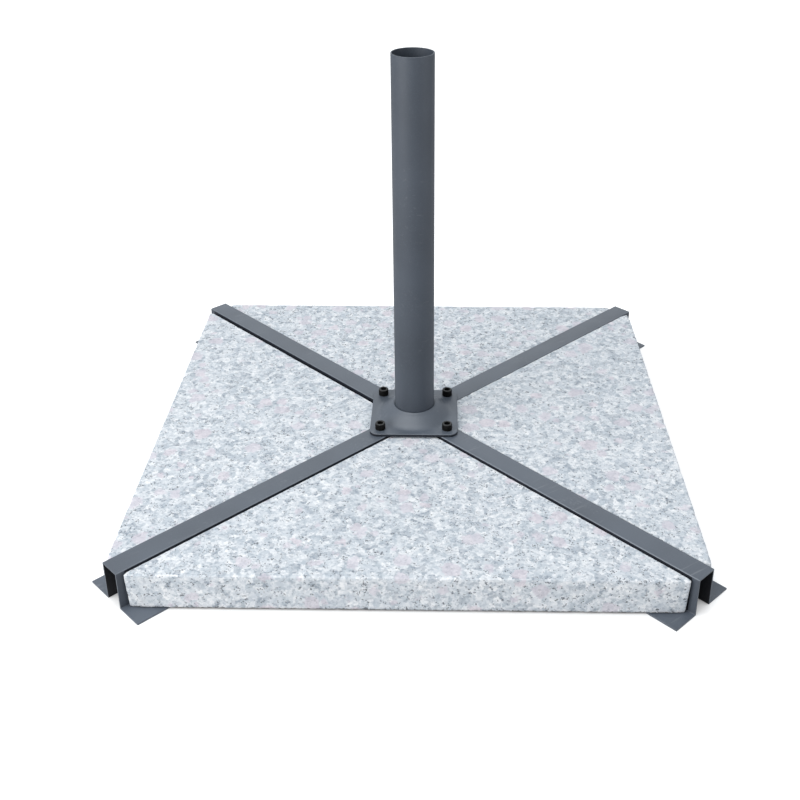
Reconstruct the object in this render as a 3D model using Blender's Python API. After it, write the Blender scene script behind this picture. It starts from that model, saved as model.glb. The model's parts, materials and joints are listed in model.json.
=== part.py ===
"""Parasol base: four granite slabs in a folded steel cross, with a flanged mast.

Metres, +Z up. The origin is on the ground under the mast's axis, +X points to
the right and +Y to the back. The four arms lie along the diagonals, and one
slab lies in each of the four bays between them.
"""

import math
from collections import namedtuple

import bmesh
import bpy

# Gap left between two pieces that rest on each other
CLEARANCE = 0.0003

# Arms: a hat section in folded sheet, standing on its two lips
ARM_REACH = 0.620
ARM_WIDTH = 0.0385
ARM_HEIGHT = 0.0662
ARM_SHEET = 0.0025
ARM_LIP = 0.0468
ARM_MITRE_GAP = 0.00025
BEND_INSIDE = 0.0005
BEND_OUTSIDE = 0.0012
BEND_STEPS = 4

# Slabs: one square of stone in four pieces between the arms, each dressed by hand and lying loose.
# Left and right are as seen from outside, facing the slab: the gaps to the two arms' walls, and how
# far the two outer corners stand out past the square.
SLAB_SIDE = 0.900
SLAB_CORNER_X = 0.412
SLAB_TIP = 0.040
SLAB_ARRIS = 0.0015
Slab = namedtuple("Slab", "turn thickness gap_left gap_right out_left out_right")
SLABS = {
    "front": Slab(0, 0.0600, 0.0024, 0.0032, 0.0, 0.0),
    "right": Slab(90, 0.0625, 0.0010, 0.0005, 0.0018, -0.0018),
    "back": Slab(180, 0.0612, 0.0015, 0.0015, 0.0, 0.0),
    "left": Slab(270, 0.0600, 0.0060, 0.0008, 0.0020, 0.0),
}

# Mast: a round tube on a square pressed flange
MAST_RADIUS = 0.035
MAST_WALL = 0.002
MAST_TOP = 0.725
FLANGE_SIDE = 0.155
FLANGE_CORNER = 0.015
FLANGE_SHEET = 0.005
FLANGE_EDGE = 0.0008
DOME_FOOT_RADIUS = 0.070
DOME_RISE = 0.0185
WELD_LEG = 0.0057

# Fasteners: M12 socket head screws and hexagon nuts
SCREW_SPACING = 0.118
SCREW_RADIUS = 0.006
SCREW_LENGTH = 0.030
SCREW_TIP_CHAMFER = 0.0009
HEAD_RADIUS = 0.009
HEAD_HEIGHT = 0.012
HEAD_EDGE = 0.0010
SOCKET_FLATS = 0.010
SOCKET_DEPTH = 0.006
SCREW_HOLE_RADIUS = 0.00675
NUT_FLATS = 0.018
NUT_HEIGHT = 0.0108
NUT_BORE_RADIUS = 0.0064
NUT_CHAMFER_SLOPE = math.tan(math.radians(30))

# Joining cross: a flat plate inside the channels that ties the four arms
CROSS_REACH = 0.110
CROSS_HALF_WIDTH = 0.013
CROSS_SHEET = 0.005

# Points around a turned ring: both counts divide by four, and the small by six
RING_POINTS = 64
SMALL_RING_POINTS = 24
DOME_STEPS = 7

# Levels, from the ground up
SLAB_BOTTOM = ARM_SHEET + CLEARANCE
FLANGE_BOTTOM = ARM_HEIGHT + CLEARANCE
FLANGE_TOP = FLANGE_BOTTOM + FLANGE_SHEET
HEAD_BOTTOM = FLANGE_TOP + CLEARANCE
CROSS_TOP = ARM_HEIGHT - ARM_SHEET - CLEARANCE
NUT_TOP = CROSS_TOP - CROSS_SHEET - CLEARANCE

# Turn of each arm about the mast's axis, in degrees
ARM_TURNS = {"back_right": 45, "back_left": 135, "front_left": 225, "front_right": 315}


def clear_scene():
    for old in list(bpy.data.objects):
        bpy.data.objects.remove(old, do_unlink=True)


def paint(name, color, roughness, metallic):
    material = bpy.data.materials.new(name)
    material.use_nodes = True
    shader = material.node_tree.nodes["Principled BSDF"]
    shader.inputs["Base Color"].default_value = (*color, 1.0)
    shader.inputs["Roughness"].default_value = roughness
    shader.inputs["Metallic"].default_value = metallic
    material.diffuse_color = (*color, 1.0)
    return material


def add_object(name, mesh, parent, turn=0.0, location=(0.0, 0.0, 0.0)):
    piece = bpy.data.objects.new(name, mesh)
    bpy.context.scene.collection.objects.link(piece)
    piece.parent = parent
    piece.location = location
    piece.rotation_euler.z = math.radians(turn)
    return piece


def finish_mesh(bm, name, material, sharp_angle=30):
    """Turn a closed bmesh into a mesh with faces out and edges sharp above the angle."""
    bmesh.ops.recalc_face_normals(bm, faces=bm.faces)
    mesh = bpy.data.meshes.new(name)
    bm.to_mesh(mesh)
    bm.free()
    mesh.shade_smooth()
    mesh.set_sharp_from_angle(angle=math.radians(sharp_angle))
    mesh.materials.append(material)
    return mesh


def cut(piece, cutter):
    boolean = piece.modifiers.new("cut_" + cutter.name, "BOOLEAN")
    boolean.operation = "DIFFERENCE"
    boolean.solver = "EXACT"
    boolean.object = cutter


def bridge(bm, ring_a, ring_b):
    """Join two rings of the same count with a band of faces."""
    count = len(ring_a)
    for i in range(count):
        j = (i + 1) % count
        bm.faces.new((ring_a[i], ring_a[j], ring_b[j], ring_b[i]))


def ring_solid(rings, closed):
    """Solid through a stack of point rings: closed makes a tube-like loop, else both ends are capped."""
    bm = bmesh.new()
    loops = [[bm.verts.new(point) for point in ring] for ring in rings]
    for lower, upper in zip(loops, loops[1:]):
        bridge(bm, lower, upper)
    if closed:
        bridge(bm, loops[-1], loops[0])
    else:
        bm.faces.new(loops[0])
        bm.faces.new(loops[-1])
    return bm


def circle(radius, height, count=RING_POINTS):
    angles = [math.tau * i / count for i in range(count)]
    return [(radius * math.cos(a), radius * math.sin(a), height) for a in angles]


def hexagon_radius(angle, flats):
    """Distance from the centre to a hexagon's side, with a flat facing +X."""
    sixth = math.tau / 6
    from_flat = (angle + sixth / 2) % sixth - sixth / 2
    return flats / 2 / math.cos(from_flat)


def hexagon(flats, height, count=SMALL_RING_POINTS, slope=0.0):
    """Ring on a hexagon; with a slope its height follows a cone outside the flats."""
    points = []
    for i in range(count):
        angle = math.tau * i / count
        radius = hexagon_radius(angle, flats)
        rise = (radius - flats / 2) * slope
        points.append((radius * math.cos(angle), radius * math.sin(angle), height + rise))
    return points


def arc(center, radius, start, end, steps):
    """Points on an arc from one angle to the other in degrees, both ends included."""
    points = []
    for step in range(steps + 1):
        angle = math.radians(start + (end - start) * step / steps)
        points.append((center[0] + radius * math.cos(angle), center[1] + radius * math.sin(angle)))
    return points


def hat_section():
    """The arm's closed outline as (across, height), from the middle of the crown; its folds are tight."""
    wall = ARM_WIDTH / 2
    channel_wall = wall - ARM_SHEET
    channel_top = ARM_HEIGHT - ARM_SHEET
    half = [(0.0, ARM_HEIGHT)]
    half += arc((wall - BEND_OUTSIDE, ARM_HEIGHT - BEND_OUTSIDE), BEND_OUTSIDE, 90, 0, BEND_STEPS)
    half += arc((wall + BEND_INSIDE, ARM_SHEET + BEND_INSIDE), BEND_INSIDE, 180, 270, BEND_STEPS)
    half += [(wall + ARM_LIP, ARM_SHEET), (wall + ARM_LIP, 0.0)]
    half += arc((channel_wall + BEND_OUTSIDE, BEND_OUTSIDE), BEND_OUTSIDE, 270, 180, BEND_STEPS)
    half += arc((channel_wall - BEND_INSIDE, channel_top - BEND_INSIDE), BEND_INSIDE, 0, 90, BEND_STEPS)
    half += [(0.0, channel_top)]
    return half + [(-across, height) for across, height in reversed(half[1:-1])]


def arm_mesh(material):
    """Arm along +X: square-cut outer end, inner end mitred to meet its three neighbours."""
    section = hat_section()
    bm = bmesh.new()
    mitre = [bm.verts.new((abs(across) + ARM_MITRE_GAP, across, height)) for across, height in section]
    tip = [bm.verts.new((ARM_REACH, across, height)) for across, height in section]
    bridge(bm, mitre, tip)
    bm.faces.new(tip)
    half = len(section) // 2
    bm.faces.new(mitre[:half + 1])
    bm.faces.new(mitre[half:] + mitre[:1])
    return finish_mesh(bm, "arm", material)


def slab_side(gap, out):
    """Right-hand corners of the front slab's outline, from its tip to its outer corner."""
    side_offset = (ARM_WIDTH / 2 + gap) * math.sqrt(2)
    return [
        (SLAB_TIP - side_offset, -SLAB_TIP),
        (SLAB_CORNER_X, -SLAB_CORNER_X - side_offset),
        (SLAB_CORNER_X, -SLAB_SIDE / 2 - out),
    ]


def slab_mesh(slab, material):
    """Slab in the front bay: a triangle whose sharp corners and inner tip are cut off."""
    outline = slab_side(slab.gap_right, slab.out_right)
    outline += [(-x, y) for x, y in reversed(slab_side(slab.gap_left, slab.out_left))]
    top = SLAB_BOTTOM + slab.thickness
    rings = [[(x, y, height) for x, y in outline] for height in (SLAB_BOTTOM, top)]
    bm = ring_solid(rings, closed=False)
    worn = [edge for edge in bm.edges if max(corner.co.z for corner in edge.verts) > top - CLEARANCE]
    bmesh.ops.bevel(bm, geom=worn, offset=SLAB_ARRIS, segments=1, affect="EDGES")
    return finish_mesh(bm, "slab", material)


def flange_outline(inset, height):
    """Rounded square ring with as many points as a circle, so the two can be bridged."""
    half = FLANGE_SIDE / 2 - inset
    corner = FLANGE_CORNER - inset
    straight = half - corner
    straight_steps = RING_POINTS // 16
    corner_steps = RING_POINTS // 8
    quarter = [(half, straight * i / straight_steps) for i in range(straight_steps)]
    quarter += arc((straight, straight), corner, 0, 90, corner_steps)
    quarter += [(straight * i / straight_steps, half) for i in range(straight_steps - 1, 0, -1)]
    points = []
    for _ in range(4):
        points += [(x, y, height) for x, y in quarter]
        quarter = [(-y, x) for x, y in quarter]
    return points


def dome_rings(foot_height):
    """Rings of the pressed dome, from its foot up to the mast: level at both ends."""
    hole_radius = MAST_RADIUS + CLEARANCE
    rings = []
    for step in range(DOME_STEPS + 1):
        climb = step / DOME_STEPS
        radius = DOME_FOOT_RADIUS + (hole_radius - DOME_FOOT_RADIUS) * climb
        rise = DOME_RISE * (1 - math.cos(math.pi * climb)) / 2
        rings.append(circle(radius, foot_height + rise))
    return rings


def flange_mesh(material):
    rings = dome_rings(FLANGE_BOTTOM)[::-1]
    rings.append(flange_outline(0.0, FLANGE_BOTTOM))
    rings.append(flange_outline(0.0, FLANGE_TOP - FLANGE_EDGE))
    rings.append(flange_outline(FLANGE_EDGE, FLANGE_TOP))
    rings += dome_rings(FLANGE_TOP)
    return finish_mesh(ring_solid(rings, closed=True), "flange", material)


def mast_mesh(material):
    bore = MAST_RADIUS - MAST_WALL
    rings = [
        circle(bore, FLANGE_BOTTOM),
        circle(MAST_RADIUS, FLANGE_BOTTOM),
        circle(MAST_RADIUS, MAST_TOP),
        circle(bore, MAST_TOP),
    ]
    return finish_mesh(ring_solid(rings, closed=True), "mast", material)


def weld_mesh(material):
    """Fillet weld in the corner between the mast and the underside of the dome."""
    inside = MAST_RADIUS + CLEARANCE
    top = FLANGE_BOTTOM + DOME_RISE - 2 * CLEARANCE
    drop = WELD_LEG / 2
    rings = [
        circle(inside, top - WELD_LEG),
        circle(inside + WELD_LEG, top - drop),
        circle(inside, top),
    ]
    return finish_mesh(ring_solid(rings, closed=True), "weld", material)


def screw_mesh(material):
    """Socket head screw, standing with the underside of its head at height zero."""
    count = SMALL_RING_POINTS
    rings = [
        circle(SCREW_RADIUS - SCREW_TIP_CHAMFER, -SCREW_LENGTH, count),
        circle(SCREW_RADIUS, SCREW_TIP_CHAMFER - SCREW_LENGTH, count),
        circle(SCREW_RADIUS, 0.0, count),
        circle(HEAD_RADIUS, 0.0, count),
        circle(HEAD_RADIUS, HEAD_HEIGHT - HEAD_EDGE, count),
        circle(HEAD_RADIUS - HEAD_EDGE, HEAD_HEIGHT, count),
        hexagon(SOCKET_FLATS, HEAD_HEIGHT),
        hexagon(SOCKET_FLATS, HEAD_HEIGHT - SOCKET_DEPTH),
    ]
    return finish_mesh(ring_solid(rings, closed=False), "screw", material)


def nut_mesh(material):
    """Hexagon nut with chamfered corners, its top face at height zero."""
    count = SMALL_RING_POINTS
    face_radius = NUT_FLATS / 2
    rings = [
        circle(NUT_BORE_RADIUS, -NUT_HEIGHT, count),
        circle(face_radius, -NUT_HEIGHT, count),
        hexagon(NUT_FLATS, -NUT_HEIGHT, slope=NUT_CHAMFER_SLOPE),
        hexagon(NUT_FLATS, 0.0, slope=-NUT_CHAMFER_SLOPE),
        circle(face_radius, 0.0, count),
        circle(NUT_BORE_RADIUS, 0.0, count),
    ]
    return finish_mesh(ring_solid(rings, closed=True), "nut", material)


def cross_mesh(material):
    """Flat four-armed plate, its arms along the diagonals."""
    outline = []
    for turn in ARM_TURNS.values():
        along = (math.cos(math.radians(turn)), math.sin(math.radians(turn)))
        corners = [
            (CROSS_REACH, -CROSS_HALF_WIDTH),
            (CROSS_REACH, CROSS_HALF_WIDTH),
            (CROSS_HALF_WIDTH, CROSS_HALF_WIDTH),
        ]
        for reach, side in corners:
            outline.append((reach * along[0] - side * along[1], reach * along[1] + side * along[0]))
    heights = (CROSS_TOP - CROSS_SHEET, CROSS_TOP)
    rings = [[(x, y, height) for x, y in outline] for height in heights]
    return finish_mesh(ring_solid(rings, closed=False), "cross", material)


def hole_cutter(parent):
    """One upright drill for each screw, long enough for the flange, the arms and the cross."""
    low = CROSS_TOP - 2 * CROSS_SHEET
    high = FLANGE_TOP + FLANGE_SHEET
    bm = bmesh.new()
    for x, y in screw_places().values():
        rings = [
            [(x + px, y + py, pz) for px, py, pz in circle(SCREW_HOLE_RADIUS, height, SMALL_RING_POINTS)]
            for height in (low, high)
        ]
        drill = ring_solid(rings, closed=False)
        loose = bpy.data.meshes.new("drill")
        drill.to_mesh(loose)
        drill.free()
        bm.from_mesh(loose)
        bpy.data.meshes.remove(loose)
    bmesh.ops.recalc_face_normals(bm, faces=bm.faces)
    mesh = bpy.data.meshes.new("screw_holes")
    bm.to_mesh(mesh)
    bm.free()
    cutter = add_object("screw_holes", mesh, parent)
    cutter.hide_render = True
    cutter.display_type = "WIRE"
    return cutter


def screw_places():
    """Screw centres by corner name, all over the arms' centre lines."""
    reach = SCREW_SPACING / math.sqrt(2)
    return {
        place: (reach * math.cos(math.radians(turn)), reach * math.sin(math.radians(turn)))
        for place, turn in ARM_TURNS.items()
    }


def main():
    clear_scene()
    granite = paint("granite", (0.62, 0.63, 0.66), 0.75, 0.0)
    frame_paint = paint("frame_paint", (0.165, 0.175, 0.195), 0.48, 0.0)
    mast_paint = paint("mast_paint", (0.075, 0.085, 0.105), 0.52, 0.0)
    black_steel = paint("black_steel", (0.02, 0.02, 0.022), 0.42, 0.9)
    zinc = paint("zinc", (0.55, 0.56, 0.57), 0.38, 0.9)
    weld_metal = paint("weld_metal", (0.13, 0.135, 0.145), 0.6, 0.5)

    base = add_object("parasol_base", None, None)
    holes = hole_cutter(base)

    arm = arm_mesh(frame_paint)
    for place, turn in ARM_TURNS.items():
        cut(add_object("arm_" + place, arm, base, turn), holes)

    for place, slab in SLABS.items():
        add_object("stone_" + place, slab_mesh(slab, granite), base, slab.turn)

    cut(add_object("joining_cross", cross_mesh(frame_paint), base), holes)
    cut(add_object("mast_flange", flange_mesh(frame_paint), base), holes)
    add_object("mast_tube", mast_mesh(mast_paint), base)
    add_object("mast_weld", weld_mesh(weld_metal), base)

    screw = screw_mesh(black_steel)
    nut = nut_mesh(zinc)
    for place, (x, y) in screw_places().items():
        add_object("screw_" + place, screw, base, ARM_TURNS[place], (x, y, HEAD_BOTTOM))
        add_object("nut_" + place, nut, base, ARM_TURNS[place], (x, y, NUT_TOP))


main()
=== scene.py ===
"""Looks of the parasol base: granite slabs, a powder-coated frame with its mast, and black screws."""

import json
import math

import bmesh
import bpy
from mathutils import Matrix, Vector, geometry, noise

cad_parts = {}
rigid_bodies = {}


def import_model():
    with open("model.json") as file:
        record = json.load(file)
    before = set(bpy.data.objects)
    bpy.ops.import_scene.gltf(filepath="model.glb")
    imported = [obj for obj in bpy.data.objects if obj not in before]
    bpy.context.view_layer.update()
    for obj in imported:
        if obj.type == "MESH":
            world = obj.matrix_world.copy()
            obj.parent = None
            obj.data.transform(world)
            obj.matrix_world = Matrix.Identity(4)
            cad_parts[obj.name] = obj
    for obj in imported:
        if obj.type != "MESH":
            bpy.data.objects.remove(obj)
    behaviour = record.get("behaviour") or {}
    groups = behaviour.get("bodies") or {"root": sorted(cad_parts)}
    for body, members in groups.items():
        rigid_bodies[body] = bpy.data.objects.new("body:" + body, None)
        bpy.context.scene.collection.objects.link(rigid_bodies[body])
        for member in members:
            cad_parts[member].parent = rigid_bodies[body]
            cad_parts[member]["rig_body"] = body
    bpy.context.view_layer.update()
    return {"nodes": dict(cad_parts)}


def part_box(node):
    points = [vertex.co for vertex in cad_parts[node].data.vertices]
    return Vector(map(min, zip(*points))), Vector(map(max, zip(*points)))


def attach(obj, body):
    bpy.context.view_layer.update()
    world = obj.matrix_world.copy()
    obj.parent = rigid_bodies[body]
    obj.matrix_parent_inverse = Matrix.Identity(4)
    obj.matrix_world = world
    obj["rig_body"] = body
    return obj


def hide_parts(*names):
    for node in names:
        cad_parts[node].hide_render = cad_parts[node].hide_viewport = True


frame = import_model()
nodes = frame["nodes"]

MM = 0.001
WHITE = (1.0, 1.0, 1.0)

# Camera, fitted to the object's own outline: its turns are in degrees, its lens in millimetres
CAMERA_PLACE = (0.0498, -1.7332, 1.1345)
CAMERA_TURN = (63.97, 0.0, 0.944)
CAMERA_LENS = 50.16
CAMERA_SHIFT = (-0.0328, -0.1197)

# Studio: the walls' colour, and the floor's size, its lift towards white and its contact shadows' reach
STUDIO_SHADE = (0.50, 0.51, 0.52)
FLOOR_RADIUS = 14.0
FLOOR_LIFT = 0.75
CONTACT_REACH = 0.08
# Each softbox's name, place, width, height, brightness and colour
SOFTBOXES = (
    ("top_softbox", (-0.7, -0.7, 3.4), 3.2, 2.2, 3.15, (0.95, 0.98, 1.0)),
    ("back_softbox", (0.0, 3.2, 1.7), 3.6, 2.0, 1.0, (0.90, 0.96, 1.0)),
    ("front_softbox", (-3.0, -2.4, 1.5), 3.2, 2.2, 5.6, (1.0, 0.98, 0.96)),
    ("side_softbox", (3.4, -1.2, 1.0), 2.4, 1.8, 1.6, (0.98, 0.98, 1.0)),
)

# Powder coats: the colour, the paler colour where it is worn, the share of wear, and the gloss
COATS = {
    "anthracite_coat": ((0.071, 0.087, 0.111), (0.18, 0.195, 0.22), 0.55, 0.8),
    # The mast's own darker paint, which also stands as painted shade on the arms' upright walls
    "mast_paint_and_wall_shade": ((0.050, 0.061, 0.079), (0.18, 0.19, 0.21), 0.15, 0.5),
    # Painted shade: a nearly black copy of the coat for the channels' insides and the joining cross
    # under the flange
    "inside_shade_coat": ((0.011, 0.012, 0.016), (0.04, 0.04, 0.045), 0.35, 0.3),
    # Painted shadow: a dark copy of the coat for the gaps beside the stones and the flange's rim
    "seam_shadow_coat": ((0.015, 0.018, 0.025), (0.04, 0.04, 0.05), 0.35, 0.2),
    # Painted highlight: a paler copy of the coat along the upper folds, with wear on it
    "fold_highlight_coat": ((0.120, 0.140, 0.170), (0.22, 0.24, 0.27), 0.5, 0.8),
}
# Where they go, in the same order: crown and lips; the walls' bare ends as painted shade, and the mast
# in its own paint;
# the inside of the channels as painted shade; the walls beside the stones and the flange's rim as
# painted shadow; and the folds as a painted highlight with some wear
COAT_CROWN, COAT_MAST_AND_WALL_SHADE, COAT_INSIDE_SHADE, COAT_SEAM_SHADOW, COAT_FOLD_HIGHLIGHT = range(len(COATS))
# How far their tone drifts, how much paler their grit is, and the scrapes' turn and length to width
COAT_DRIFT = 0.13
GRIT_LIFT = 1.35
SCRAPE_TURN = 0.6
SCRAPE_STRETCH = 16.0

# Granite: the sizes of its grains, crystals and flecks, the share of the large cells without a crystal,
# and how strongly the quartz clouds and the crystals show
FINE_GRAIN = 3.6 * MM
COARSE_GRAIN = 9.5 * MM
CRYSTAL_CELL = 34.0 * MM
FLECK_CELL = 3.4 * MM
BARE_CELLS = 0.2
CLOUD_STRENGTH = 0.30
CRYSTAL_STRENGTH = 0.58
# Its tones from dark quartz to white feldspar, each from its place on, and its other colours
STONE_TONES = (
    (0.00, (0.28, 0.32, 0.37)),
    (0.14, (0.42, 0.47, 0.52)),
    (0.36, (0.54, 0.58, 0.62)),
    (0.62, (0.645, 0.67, 0.70)),
    (0.84, (0.745, 0.76, 0.78)),
)
PINKS = (
    (0.0, (0.60, 0.53, 0.58)),
    (0.5, (0.54, 0.50, 0.56)),
    (1.0, (0.62, 0.58, 0.635)),
)
QUARTZ = (0.43, 0.485, 0.55)
MICA = (0.15, 0.165, 0.185)
# Painted shadow along the slab's foot: its colour, how high it reaches and how far it fades
FOOT_SHADOW = (0.035, 0.03, 0.027)
FOOT_SHADOW_TOP = 5.4 * MM
FOOT_SHADOW_FADE = 2.0 * MM

# Steel shown with the CAD's shape: its edges' radius by kind of node, the degrees from which an edge is
# rounded, and what counts as one point and one plane
EDGE_RADIUS = {
    "arm": 0.3 * MM,
    "nut": 0.25 * MM,
    "cross": 0.35 * MM,
    "flange": 0.8 * MM,
    "tube": 0.4 * MM,
}
EDGE_ANGLE = 35
SAME_POINT = 0.005 * MM
SAME_PLANE_ANGLE = 0.5
# How far a face looks a given way, as the cosine of the angle between them, and how high the lips reach
TILTED, MOSTLY, SQUARELY, LEVEL = 0.1, 0.5, 0.99, 0.9999
LIP_ZONE = 5.0 * MM
# How far out the dome may reach, short of the flange's rim, as a share of the flange's half width
DOME_SHARE = 0.95

# Slabs: the spacing of the points round them, the longest side that is only a small chamfer in the CAD
# outline, the rounding of their upright corners, and the degrees from which an edge is sharp
EDGE_STEP = 3.0 * MM
CHAMFER_LIMIT = 5.0 * MM
CORNER_ROUND = 2.5 * MM
ARC_STEPS = 3
SLAB_SHARP_ANGLE = 50
# The sides: their rings, how far these stay from the arrises, and the relief that the saw left
SIDE_STEPS = 6
SIDE_MARGIN = 6.0 * MM
SIDE_RELIEF, SIDE_RELIEF_SIZE = 0.35 * MM, 9 * MM
# The corners lean in towards the bottom: how far along the sides, and how much at the corner
TIP_LENGTH = 28.0 * MM
TIP_UNDERCUT = 1.8 * MM
# Rings of the lower and the upper arris: distance from the slab's face and inset as shares of the arris,
# share of the chips, and how many times these the ring rises
LOWER_ARRIS = 1.0 * MM
LOWER_RINGS = (
    (0.0, 1.0, 1.2, 0.0),
    (0.3, 0.4, 0.9, 0.6),
    (1.0, 0.0, 0.3, 3.0),
)
UPPER_ARRIS = 1.5 * MM
UPPER_RINGS = (
    (1.0, 0.0, 0.25, -3.0),
    (0.5, 0.2, 0.6, -1.0),
    (0.15, 0.55, 1.0, -0.3),
    (0.0, 1.0, 1.3, 0.0),
)
# How worn each slab is, and the share of that on the arrises beside the arms
SLAB_WEAR = {"stone_front": 0.6, "stone_right": 1.3, "stone_back": 0.8, "stone_left": 1.1}
SEAM_SHARE = 0.4
# Chips: depth and size of the fine ones, of the flakes where the noise passes their start, and of the
# knocks at the corners, the size of their ragged breaks, and where the noise of each arris begins
FINE_CHIP, FINE_CHIP_SIZE = 0.9 * MM, 5 * MM
FLAKE, FLAKE_SIZE, FLAKE_START = 4.6 * MM, 11 * MM, 0.08
KNOCK, KNOCK_REACH = 2.2 * MM, 14 * MM
BREAK_SIZE = 4 * MM
TOP_SEED, BOTTOM_SEED = 5.0, 31.0

# Screws: the shank's radius, the head's height and the key's width as shares of the head's radius
SHANK_SHARE = 2 / 3
HEAD_HEIGHT_SHARE = 4 / 3
FLATS_SHARE = 10 / 9
# Their chamfered end, the neck under the head, the knurl with four points to a ridge, the thread, the
# head's rounded edge, the socket, and the degrees from which an edge is sharp
END_CHAMFER = 1.0 * MM
END_EDGE = 0.1 * MM
NECK_RISE = 0.3 * MM
NECK_FLARE = 0.2 * MM
KNURL_RIDGES = 60
KNURL_DEPTH = 0.22 * MM
SCREW_POINTS = 4 * KNURL_RIDGES
THREAD_PITCH = 1.75 * MM
THREAD_DEPTH = 0.75 * MM
THREAD_STEPS = 5
THREAD_START = 1.0 * MM
THREAD_RUNOUT = 1.5 * MM
HEAD_EDGE = 1.3 * MM
HEAD_EDGE_STEPS = 3
SOCKET_DEPTH = 6.0 * MM
DRILL_DEPTH = 7.6 * MM
SCREW_SHARP_ANGLE = 40

# ------------------------------------------------------------------ shader building blocks


def add(tree, kind, inputs=None, **settings):
    """Add a node; each input is a plain value or another node's output to join to it."""
    made = tree.nodes.new("ShaderNode" + kind)
    for key, value in settings.items():
        setattr(made, key, value)
    for key, value in (inputs or {}).items():
        if isinstance(value, bpy.types.NodeSocket):
            tree.links.new(value, made.inputs[key])
        else:
            made.inputs[key].default_value = value
    return made


def new_material(name, values):
    """Material with uniform values on its shader's sockets, its node tree and the object's places."""
    material = bpy.data.materials.new(name)
    material.use_nodes = True
    tree = material.node_tree
    for socket, value in values.items():
        tree.nodes["Principled BSDF"].inputs[socket].default_value = value
    return material, tree, add(tree, "TexCoord").outputs["Object"]


def join_shader(tree, outputs):
    """Join node outputs to the shader's sockets, by their names."""
    for socket, output in outputs.items():
        tree.links.new(output, tree.nodes["Principled BSDF"].inputs[socket])


def maths(tree, operation, *values):
    return add(tree, "Math", dict(enumerate(values)), operation=operation).outputs[0]


def product(tree, first, *others):
    for other in others:
        first = maths(tree, "MULTIPLY", first, other)
    return first


def rgba(colour):
    """A plain colour with its alpha; a node's output stays as it is."""
    return colour if isinstance(colour, bpy.types.NodeSocket) else (*colour, 1.0)


def mix_colour(tree, share, first, second):
    """Mix of two colours; a Mix node takes them at its sockets 6 and 7 and gives the result at 2."""
    made = add(tree, "Mix", {0: share, 6: rgba(first), 7: rgba(second)}, data_type="RGBA")
    return made.outputs[2]


def smooth_step(tree, value, low, high):
    """0 up to low and 1 from high on, eased between them; low may be the higher of the two."""
    inputs = {"Value": value, "From Min": low, "From Max": high}
    return add(tree, "MapRange", inputs, interpolation_type="SMOOTHSTEP").outputs["Result"]


def spread(tree, value, low, high, start=0.0):
    """The value's range from start to 1, spread from low to high."""
    inputs = {"Value": value, "From Min": start, "To Min": low, "To Max": high}
    return add(tree, "MapRange", inputs).outputs["Result"]


def ramp(tree, value, stops, interpolation="LINEAR"):
    """Colour ramp from (place, colour) stops."""
    made = add(tree, "ValToRGB", {"Fac": value})
    band = made.color_ramp
    band.interpolation = interpolation
    while len(band.elements) < len(stops):
        band.elements.new(0.5)
    for element, (place, colour) in zip(band.elements, stops):
        element.position = place
        element.color = rgba(colour)
    return made.outputs["Color"]


def noise_at(tree, place, size, detail=2.0, roughness=0.5, output="Fac"):
    """Noise whose blobs measure about size metres."""
    inputs = {"Vector": place, "Scale": 1 / size, "Detail": detail, "Roughness": roughness}
    return add(tree, "TexNoise", inputs).outputs[output]


def cells_at(tree, place, size):
    """Voronoi cells of about size metres: distance to the middle, and a random colour per cell."""
    made = add(tree, "TexVoronoi", {"Vector": place, "Scale": 1 / size})
    return made.outputs["Distance"], made.outputs["Color"]


def warped(tree, place, size, amount):
    """Places pushed about by noise, by up to half the amount each way."""
    push = noise_at(tree, place, size, output="Color")
    centred = add(tree, "VectorMath", {0: push, 1: (0.5, 0.5, 0.5)}, operation="SUBTRACT").outputs[0]
    inputs = {0: centred, 1: (amount, amount, amount), 2: place}
    return add(tree, "VectorMath", inputs, operation="MULTIPLY_ADD").outputs[0]


def channels(tree, colour):
    return add(tree, "SeparateColor", {"Color": colour}).outputs


def height_of(tree, vector):
    return add(tree, "SeparateXYZ", {"Vector": vector}).outputs["Z"]


def bump(tree, height, distance, strength=1.0, under=None):
    inputs = {"Height": height, "Distance": distance, "Strength": strength}
    if under is not None:
        inputs["Normal"] = under
    return add(tree, "Bump", inputs).outputs["Normal"]


# ------------------------------------------------------------------ granite


def grain_tones(tree, place, ragged, fine):
    """Grains of two sizes, each in one tone from quartz to feldspar, under clouds rich in quartz."""
    _, coarse = cells_at(tree, ragged, COARSE_GRAIN)
    fine_tone = ramp(tree, channels(tree, fine)["Red"], STONE_TONES, "CONSTANT")
    coarse_tone = ramp(tree, channels(tree, coarse)["Green"], STONE_TONES, "CONSTANT")
    tone = mix_colour(tree, 0.5, fine_tone, coarse_tone)
    cloud = smooth_step(tree, noise_at(tree, place, 22 * MM, detail=3.0), 0.48, 0.66)
    return mix_colour(tree, product(tree, cloud, CLOUD_STRENGTH), tone, QUARTZ)


def pink_crystals(tree, place):
    """Where the feldspar crystals are, in most of the large cells, and their colour."""
    broken = warped(tree, warped(tree, place, 14 * MM, 18 * MM), 4 * MM, 7 * MM)
    distance, kind = cells_at(tree, broken, CRYSTAL_CELL)
    kinds = channels(tree, kind)
    size = spread(tree, kinds["Red"], 0.12, 0.54, start=BARE_CELLS)
    crystal = smooth_step(tree, maths(tree, "SUBTRACT", size, distance), 0.0, 0.10)
    crystal = product(tree, crystal, maths(tree, "GREATER_THAN", kinds["Red"], BARE_CELLS))
    return crystal, ramp(tree, kinds["Green"], PINKS)


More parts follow.
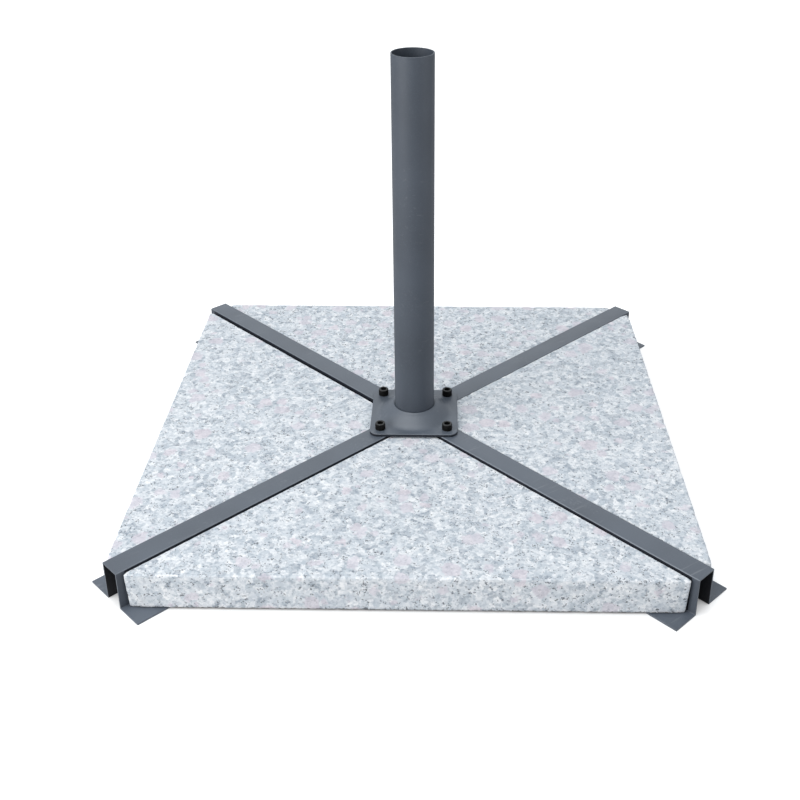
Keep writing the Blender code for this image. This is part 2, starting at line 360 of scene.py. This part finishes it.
def mica_flecks(tree, place, ragged, crystal):
    """Where the dark flecks are: gathered in bands, and fainter inside the crystals."""
    distance, kind = cells_at(tree, warped(tree, ragged, 6 * MM, 6 * MM), FLECK_CELL)
    band = smooth_step(tree, noise_at(tree, place, 11 * MM), 0.38, 0.62)
    size = product(tree, channels(tree, kind)["Blue"], 0.62, band)
    fleck = smooth_step(tree, maths(tree, "SUBTRACT", size, distance), 0.0, 0.08)
    return product(tree, fleck, maths(tree, "SUBTRACT", 1.0, product(tree, crystal, 0.7)))


def granite():
    """Pale grey granite: white feldspar, blue-grey quartz, soft pink crystals and small dark mica."""
    material, tree, place = new_material("dressed_granite", {"Specular IOR Level": 0.3})
    ragged = warped(tree, place, 3 * MM, 5 * MM)
    _, fine = cells_at(tree, ragged, FINE_GRAIN)

    stone = grain_tones(tree, place, ragged, fine)
    crystal, pink = pink_crystals(tree, place)
    stone = mix_colour(tree, product(tree, crystal, CRYSTAL_STRENGTH), stone, pink)
    fleck = mica_flecks(tree, place, ragged, crystal)
    stone = mix_colour(tree, fleck, stone, MICA)

    # Painted shadow: dark brown on the lowest few millimetres, where the slab's foot meets the floor
    foot_shadow_share = smooth_step(tree, height_of(tree, ragged), FOOT_SHADOW_TOP, FOOT_SHADOW_TOP - FOOT_SHADOW_FADE)
    stone = mix_colour(tree, foot_shadow_share, stone, FOOT_SHADOW)

    # Each grain has its own roughness and height on the worked surface, and mica shines a little more
    roughness = spread(tree, channels(tree, fine)["Green"], 0.55, 0.85)
    roughness = maths(tree, "SUBTRACT", roughness, product(tree, fleck, 0.2))
    relief = bump(tree, noise_at(tree, place, 9 * MM, detail=5.0, roughness=0.62), 1.2 * MM, 0.5)
    relief = bump(tree, channels(tree, fine)["Blue"], 0.12 * MM, 0.5, relief)
    join_shader(tree, {"Base Color": stone, "Roughness": roughness, "Normal": relief})
    return material


# ------------------------------------------------------------------ metals and floor


def worn_places(tree, place):
    """Where a coat is worn: rubbed patches broken up by a finer noise, and a few long thin scrapes."""
    patch = smooth_step(tree, noise_at(tree, place, 60 * MM, detail=4.0), 0.52, 0.68)
    broken = smooth_step(tree, noise_at(tree, place, 5 * MM, detail=4.0, roughness=0.7), 0.50, 0.72)
    mapping = {"Vector": place, "Rotation": (0.0, 0.0, SCRAPE_TURN), "Scale": (SCRAPE_STRETCH, 1.0, 1.0)}
    stretched = add(tree, "Mapping", mapping, vector_type="TEXTURE").outputs["Vector"]
    scrape = smooth_step(tree, noise_at(tree, stretched, 4 * MM), 0.62, 0.74)
    scraped_area = smooth_step(tree, noise_at(tree, place, 90 * MM, detail=1.0), 0.50, 0.60)
    return maths(tree, "MAXIMUM", product(tree, patch, broken), product(tree, scrape, scraped_area))


def powder_coat(name, colour, pale_colour, worn_share, gloss):
    """Powder coat: slow drift in tone, paler grit, light wear and a fine orange peel."""
    material, tree, place = new_material(name, {"Specular IOR Level": gloss})

    def tone(share):
        return tuple(share * part for part in colour)

    drift = noise_at(tree, place, 150 * MM)
    coat = ramp(tree, drift, [(0.35, tone(1 - COAT_DRIFT)), (0.65, tone(1 + COAT_DRIFT))])
    grit = smooth_step(tree, noise_at(tree, place, 1.1 * MM, detail=1.0), 0.60, 0.75)
    coat = mix_colour(tree, grit, coat, tone(GRIT_LIFT))
    worn = product(tree, worn_places(tree, place), worn_share)
    coat = mix_colour(tree, worn, coat, pale_colour)

    roughness = spread(tree, noise_at(tree, place, 35 * MM, detail=3.0), 0.42, 0.54)
    roughness = maths(tree, "ADD", roughness, product(tree, worn, 0.2))
    peel = bump(tree, noise_at(tree, place, 1.6 * MM, detail=1.0), 0.05 * MM, 0.6)
    join_shader(tree, {"Base Color": coat, "Roughness": roughness, "Normal": peel})
    return material


def dark_steel():
    """Black oxide of the screws: nearly black and oily, with a painted highlight that makes faces
    looking up paler.
    """
    material, tree, place = new_material("black_oxide", {"Specular IOR Level": 0.10})
    mottle = noise_at(tree, place, 3 * MM, detail=4.0)
    oxide = ramp(tree, mottle, [(0.3, (0.003, 0.003, 0.003)), (0.75, (0.008, 0.008, 0.008))])
    # Painted highlight: faces that look up are paler
    top = smooth_step(tree, height_of(tree, add(tree, "TexCoord").outputs["Normal"]), 0.25, 0.75)
    tone = mix_colour(tree, product(tree, top, mottle), oxide, (0.075, 0.078, 0.080))
    join_shader(tree, {"Base Color": tone, "Roughness": spread(tree, mottle, 0.26, 0.48)})
    return material


def bright_zinc():
    """Zinc-plated nuts with a cloudy blue-grey passivation."""
    material, tree, place = new_material("zinc_plate", {"Metallic": 1.0})
    cloud = noise_at(tree, place, 5 * MM, detail=4.0)
    tone = ramp(tree, cloud, [(0.3, (0.46, 0.48, 0.50)), (0.7, (0.66, 0.66, 0.63))])
    join_shader(tree, {"Base Color": tone, "Roughness": spread(tree, cloud, 0.25, 0.5)})
    return material


def weld_bead():
    """Painted weld bead with its ripples."""
    material, tree, place = new_material("weld_bead", {"Metallic": 0.3})
    ripple = noise_at(tree, place, 2.5 * MM)
    tone = ramp(tree, ripple, [(0.3, (0.07, 0.075, 0.085)), (0.7, (0.13, 0.135, 0.15))])
    join_shader(tree, {"Base Color": tone, "Normal": bump(tree, ripple, 0.4 * MM)})
    return material


def pale_floor():
    """Pale studio floor with a faint cloudiness, lifted towards white where it is seen and open."""
    values = {"Roughness": 0.9, "Specular IOR Level": 0.1, "Emission Color": rgba(WHITE)}
    material, tree, place = new_material("studio_floor", values)
    cloud = noise_at(tree, place, 1.2)
    shade = ramp(tree, cloud, [(0.3, (0.56, 0.565, 0.57)), (0.7, (0.59, 0.595, 0.60))])
    seen = add(tree, "LightPath").outputs["Is Camera Ray"]
    open_floor = add(tree, "AmbientOcclusion", {"Distance": CONTACT_REACH}, samples=8).outputs["AO"]
    lift = product(tree, seen, open_floor, FLOOR_LIFT)
    join_shader(tree, {"Base Color": shade, "Emission Strength": lift})
    return material


# ------------------------------------------------------------------ mesh building blocks


def show(name, bm, material, body, replaces, sharp_angle):
    """Turn a bmesh into a shown piece that moves with a body and stands for CAD nodes."""
    bmesh.ops.recalc_face_normals(bm, faces=bm.faces)
    mesh = bpy.data.meshes.new(name)
    bm.to_mesh(mesh)
    bm.free()
    mesh.shade_smooth()
    mesh.set_sharp_from_angle(angle=math.radians(sharp_angle))
    mesh.materials.append(material)
    piece = bpy.data.objects.new(name, mesh)
    bpy.context.scene.collection.objects.link(piece)
    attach(piece, body)
    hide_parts(*replaces)
    return piece


def stacked(rings):
    """Skin over a stack of point rings, closed at both ends."""
    bm = bmesh.new()
    loops = [[bm.verts.new(point) for point in ring] for ring in rings]
    for lower, upper in zip(loops, loops[1:]):
        count = len(lower)
        for i in range(count):
            j = (i + 1) % count
            bm.faces.new((lower[i], lower[j], upper[j], upper[i]))
    bm.faces.new(loops[0])
    bm.faces.new(loops[-1])
    return bm


# ------------------------------------------------------------------ frame: arms, flange, mast and nuts


def welded(node):
    """The CAD node's own faces as a bmesh, with its loose triangles joined and flats merged."""
    bm = bmesh.new()
    bm.from_mesh(nodes[node].data)
    bmesh.ops.remove_doubles(bm, verts=bm.verts, dist=SAME_POINT)
    angle = math.radians(SAME_PLANE_ANGLE)
    bmesh.ops.dissolve_limit(bm, angle_limit=angle, verts=bm.verts, edges=bm.edges)
    return bm


def refined(node, material, edge_radius, reshape=None):
    """The CAD node with its hard edges rounded and its curved faces shaded smooth."""
    bm = welded(node)
    if reshape:
        reshape(bm)
    body = nodes[node]["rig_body"]
    piece = show(node + "_finish", bm, material, body, [node], EDGE_ANGLE)
    rounding = piece.modifiers.new("edge_radius", "BEVEL")
    rounding.width = edge_radius
    rounding.segments = 2
    rounding.limit_method = "ANGLE"
    rounding.angle_limit = math.radians(EDGE_ANGLE)
    rounding.harden_normals = True
    rounding.use_clamp_overlap = True
    return piece


def finer_dome(bm):
    """Halve the facets of the flange's dome, with new points on the curve through their neighbours."""
    bm.normal_update()
    # The dome's faces slope, and lie further in than the rim, whose edges slope too
    inner = DOME_SHARE * max(vert.co.x for vert in bm.verts)
    sloping = [face for face in bm.faces if TILTED < abs(face.normal.z) < LEVEL]
    dome = [face for face in sloping if face.calc_center_median().xy.length < inner]
    edges = {edge for face in dome for edge in face.edges}
    bmesh.ops.subdivide_edges(bm, edges=list(edges), cuts=1, use_grid_fill=True, smooth=1.0)


def flange(coat, rim_shadow_coat):
    """Flange with the darker coat of the seams on its upright rim, as painted shade along its edge."""
    piece = refined("mast_flange", coat, EDGE_RADIUS["flange"], reshape=finer_dome)
    piece.data.materials.append(rim_shadow_coat)
    # The upright rim takes the painted shade
    for face in piece.data.polygons:
        face.material_index = int(abs(face.normal.z) < TILTED)


def arm(node, coats):
    """Folded arm, each face coated by where it is and which way it looks, with painted shade on the
    walls and inside the channel and a painted highlight on the upper folds.
    """
    low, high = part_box(node)
    middle = (low + high) / 2
    along = Vector((middle.x, middle.y, 0)).normalized()
    across = Vector((-along.y, along.x, 0))
    stones = [nodes[name].data for name in nodes if name.startswith("stone_")]
    stone_end = max(vert.co.dot(along) for stone in stones for vert in stone.vertices) - CORNER_ROUND

    def split_walls(bm):
        """Cut the arm across where the stones end."""
        everything = bm.verts[:] + bm.edges[:] + bm.faces[:]
        bmesh.ops.bisect_plane(bm, geom=everything, plane_co=along * stone_end, plane_no=along)

    def coat_of(face):
        """The coat of a face, by how far it looks away from the arm's centre line; the darker coats are
        painted shade and the fold coat a painted highlight.
        """
        outward = face.normal.dot(across) * math.copysign(1, face.center.dot(across))
        is_high = face.center.z > middle.z
        if abs(face.normal.dot(along)) > MOSTLY:
            return COAT_CROWN
        # Painted shade inside the channel
        if outward < -TILTED or (face.normal.z < -MOSTLY and is_high):
            return COAT_INSIDE_SHADE
        # Walls beside the stones take the painted shadow of the gap, their bare ends the painted shade
        # of the walls
        if outward > SQUARELY and face.center.z > low.z + LIP_ZONE:
            return COAT_SEAM_SHADOW if face.center.dot(along) < stone_end else COAT_MAST_AND_WALL_SHADE
        # Painted highlight on the upper folds
        if outward > TILTED and face.normal.z > TILTED and is_high:
            return COAT_FOLD_HIGHLIGHT
        return COAT_CROWN

    piece = refined(node, coats[COAT_CROWN], EDGE_RADIUS["arm"], reshape=split_walls)
    for coat in coats[COAT_CROWN + 1:]:
        piece.data.materials.append(coat)
    for face in piece.data.polygons:
        face.material_index = coat_of(face)


# ------------------------------------------------------------------ granite slabs


def footprint(node):
    """Corners of a slab's underside, counter-clockwise from above, as if it had no small chamfers."""
    low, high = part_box(node)
    middle = (low + high) / 2
    underside = [vert.co for vert in nodes[node].data.vertices if vert.co.z < low.z + MM / 10]
    corners = {(round(co.x, 5), round(co.y, 5)) for co in underside}
    ordered = sorted(corners, key=lambda c: math.atan2(c[1] - middle.y, c[0] - middle.x))
    points = [Vector((*corner, 0.0)) for corner in ordered]
    sides = list(zip(points, points[1:] + points[:1]))
    sides = [(start, end) for start, end in sides if (end - start).length > CHAMFER_LIMIT]
    crossings = [geometry.intersect_line_line(*sides[i - 1], *side)[0] for i, side in enumerate(sides)]
    return [crossing.xy for crossing in crossings]


def left_of(direction):
    return Vector((-direction.y, direction.x))


def outline(corners):
    """Evenly spaced places round the footprint, its corners slightly rounded."""
    count = len(corners)
    edges = [corners[(i + 1) % count] - corners[i] for i in range(count)]
    ways = [edge.normalized() for edge in edges]
    turns = [abs(ways[i - 1].angle_signed(ways[i])) for i in range(count)]
    cuts = [CORNER_ROUND * math.tan(turn / 2) for turn in turns]
    places = []
    for i, corner in enumerate(corners):
        inward = left_of(ways[i - 1])
        centre = corner - ways[i - 1] * cuts[i] + inward * CORNER_ROUND
        for step in range(ARC_STEPS + 1):
            spin = Matrix.Rotation(turns[i] * step / ARC_STEPS, 2)
            places.append(centre - spin @ inward * CORNER_ROUND)
        start = corner + ways[i] * cuts[i]
        after = (i + 1) % count
        end = corners[after] - ways[i] * cuts[after]
        steps = max(2, round(edges[i].length / EDGE_STEP))
        places += [start.lerp(end, step / steps) for step in range(1, steps)]
    return places


def wobble(place, size, seed=0.0):
    """Smooth noise from about -1 to 1 with features of the given size."""
    return noise.noise(Vector((place[0] / size, place[1] / size, place[2] / size + seed)))


def chip(place, corner_distance, seed):
    """How far an edge is broken back: always a little, with flakes here and there and at the corners."""
    fine = FINE_CHIP * abs(wobble(place, FINE_CHIP_SIZE, seed))
    flake = FLAKE * max(0.0, wobble(place, FLAKE_SIZE, seed + 7.0) - FLAKE_START)
    knock = KNOCK * max(0.0, 1 - corner_distance / KNOCK_REACH) ** 2
    ragged = 0.65 + 0.35 * wobble(place, BREAK_SIZE, seed + 3.0)
    return fine + (flake + knock) * ragged


def slab(node, material):
    """Slab in the place of the CAD one, with sawn sides and hand-dressed, chipped arrises."""
    low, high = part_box(node)
    middle = ((low + high) / 2).xy
    reach = min(high.x - low.x, high.y - low.y) / 2
    corners = footprint(node)
    places = outline(corners)
    outward = middle.normalized()
    front = max(corner.dot(outward) for corner in corners)
    spans = [min((place - corner).length for corner in corners) for place in places]
    shares = [1.0 if front - place.dot(outward) < CHAMFER_LIMIT else SEAM_SHARE for place in places]

    def ring(height, inset, broken=0.0, seed=0.0, drop=0.0):
        """Ring drawn in by its inset and a share of the chips; it also rises by drop times the chips."""
        depth = (high.z - height) / (high.z - low.z)
        points = []
        for place, span, share in zip(places, spans, shares):
            chipped = share * SLAB_WEAR[node] * broken * chip((place.x, place.y, seed), span, seed)
            uneven = SIDE_RELIEF * (0.5 + 0.5 * wobble((place.x, place.y, height), SIDE_RELIEF_SIZE))
            undercut = TIP_UNDERCUT * depth * max(0.0, 1 - span / TIP_LENGTH)
            drawn = place.lerp(middle, (share * inset + chipped + uneven + undercut) / reach)
            points.append((drawn.x, drawn.y, height + drop * chipped))
        return points

    side_low = low.z + SIDE_MARGIN
    side_rise = (high.z - low.z - 2 * SIDE_MARGIN) / SIDE_STEPS
    rings = [
        ring(low.z + rise * LOWER_ARRIS, inset * LOWER_ARRIS, broken, BOTTOM_SEED, drop)
        for rise, inset, broken, drop in LOWER_RINGS
    ]
    rings += [ring(side_low + side_rise * step, 0.0) for step in range(SIDE_STEPS + 1)]
    rings += [
        ring(high.z - fall * UPPER_ARRIS, inset * UPPER_ARRIS, broken, TOP_SEED, drop)
        for fall, inset, broken, drop in UPPER_RINGS
    ]
    body = nodes[node]["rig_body"]
    bm = stacked(rings)
    piece = show(node + "_granite", bm, material, body, [node], SLAB_SHARP_ANGLE)
    # The top and the underside are flat, so they take no shading from the arrises
    for face in piece.data.polygons:
        face.use_smooth = len(face.vertices) == 4


# ------------------------------------------------------------------ screws


def circle_points(radius, height):
    """Ring of points; the radius may be a function of the angle."""
    points = []
    for i in range(SCREW_POINTS):
        angle = math.tau * i / SCREW_POINTS
        reach = radius(angle) if callable(radius) else radius
        points.append((reach * math.cos(angle), reach * math.sin(angle), height))
    return points


def knurled(radius):
    """Radius of a straight knurl: one ridge and one groove for each tooth."""
    return lambda angle: radius - KNURL_DEPTH * (0.5 - 0.5 * math.cos(angle * KNURL_RIDGES))


def hexagon(flats):
    """Radius of a hexagon of this width across its flats."""
    sixth = math.tau / 6
    return lambda angle: flats / 2 / math.cos((angle + sixth / 2) % sixth - sixth / 2)


def threaded(radius, height):
    """Radius of a V thread at this height."""
    def at(angle):
        phase = (height / THREAD_PITCH - angle / math.tau) % 1.0
        return radius - THREAD_DEPTH * abs(2 * phase - 1)
    return at


def shank_profile(shank, low, base):
    """Radius and height of each ring from the chamfered end to the underside of the head."""
    profile = [(shank - END_CHAMFER - END_EDGE, low), (shank - END_CHAMFER + END_EDGE, low + END_EDGE)]
    turns = round((base - THREAD_RUNOUT - low - THREAD_START) / THREAD_PITCH)
    for step in range(turns * THREAD_STEPS + 1):
        height = low + THREAD_START + step * THREAD_PITCH / THREAD_STEPS
        profile.append((threaded(shank, height), height))
    return profile + [(shank, base - NECK_RISE), (shank + NECK_FLARE, base)]


def head_profile(head, base, top):
    """Radius and height of each ring up the knurled head, over its rounded edge and into its socket."""
    profile = [
        # Chamfered underside, then the knurl
        (head - 0.7 * MM, base),
        (head - 0.2 * MM, base + 0.4 * MM),
        (knurled(head), base + 1.0 * MM),
        (knurled(head), top - 2.0 * MM),
    ]
    for step in range(HEAD_EDGE_STEPS + 1):
        turn = math.tau / 4 * step / HEAD_EDGE_STEPS
        radius = head - KNURL_DEPTH - HEAD_EDGE * (1 - math.cos(turn))
        profile.append((radius, top - HEAD_EDGE * (1 - math.sin(turn))))
    flats = head * FLATS_SHARE
    return profile + [
        # Countersunk rim, hexagon and drilled point of the socket
        (flats / 2 + 0.9 * MM, top),
        (hexagon(flats), top - 0.4 * MM),
        (hexagon(flats), top - SOCKET_DEPTH),
        (0.4 * MM, top - DRILL_DEPTH),
    ]


def screw(node, material):
    """Socket head screw in the place of the CAD one, with its knurl, edges and thread."""
    low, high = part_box(node)
    centre = (low + high) / 2
    head = (high.x - low.x) / 2
    base = high.z - head * HEAD_HEIGHT_SHARE
    profile = shank_profile(head * SHANK_SHARE, low.z, base) + head_profile(head, base, high.z)
    bm = stacked([circle_points(radius, height) for radius, height in profile])
    bmesh.ops.translate(bm, vec=(centre.x, centre.y, 0.0), verts=bm.verts)
    body = nodes[node]["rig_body"]
    show(node + "_knurled", bm, material, body, [node], SCREW_SHARP_ANGLE)


# ------------------------------------------------------------------ stage


def stage():
    """Pale floor, softboxes, and walls that light the object with a soft grey but look white."""
    bpy.ops.mesh.primitive_circle_add(vertices=96, radius=FLOOR_RADIUS, fill_type="NGON")
    floor = bpy.context.object
    floor.name = "studio_floor"
    floor.data.materials.append(pale_floor())

    world = bpy.data.worlds.new("soft_studio")
    bpy.context.scene.world = world
    world.use_nodes = True
    tree = world.node_tree
    seen = add(tree, "LightPath").outputs["Is Camera Ray"]
    sky = tree.nodes["Background"]
    tree.links.new(mix_colour(tree, seen, STUDIO_SHADE, WHITE), sky.inputs["Color"])
    for lamp in SOFTBOXES:
        area_light(*lamp)


def area_light(name, place, width, height, radiance, colour):
    """Soft lamp aimed at the middle of the base."""
    lamp = bpy.data.lights.new(name, "AREA")
    lamp.shape = "RECTANGLE"
    lamp.size = width
    lamp.size_y = height
    lamp.energy = math.pi * width * height * radiance
    lamp.color = colour
    rig = bpy.data.objects.new(name, lamp)
    rig.location = place
    rig.rotation_euler = (-Vector(place)).to_track_quat("-Z", "Y").to_euler()
    rig.visible_camera = False
    bpy.context.scene.collection.objects.link(rig)


def camera():
    lens = bpy.data.cameras.new("camera")
    lens.lens = CAMERA_LENS
    lens.shift_x, lens.shift_y = CAMERA_SHIFT
    eye = bpy.data.objects.new("camera", lens)
    eye.location = CAMERA_PLACE
    eye.rotation_euler = [math.radians(turn) for turn in CAMERA_TURN]
    bpy.context.scene.collection.objects.link(eye)
    bpy.context.scene.camera = eye


def main():
    stone = granite()
    coats = [powder_coat(name, *look) for name, look in COATS.items()]
    black = dark_steel()
    zinc = bright_zinc()

    for node in sorted(nodes):
        if node.startswith("stone_"):
            slab(node, stone)
        elif node.startswith("arm_"):
            arm(node, coats)
        elif node.startswith("screw_"):
            screw(node, black)
        elif node.startswith("nut_"):
            refined(node, zinc, EDGE_RADIUS["nut"])
    # The joining cross under the flange takes the painted shade of the channels' insides
    refined("joining_cross", coats[COAT_INSIDE_SHADE], EDGE_RADIUS["cross"])
    flange(coats[COAT_CROWN], coats[COAT_SEAM_SHADOW])
    refined("mast_tube", coats[COAT_MAST_AND_WALL_SHADE], EDGE_RADIUS["tube"])
    nodes["mast_weld"].material_slots[0].material = weld_bead()

    stage()
    camera()
    view = bpy.context.scene.view_settings
    view.view_transform = "Standard"
    view.look = "None"


main()
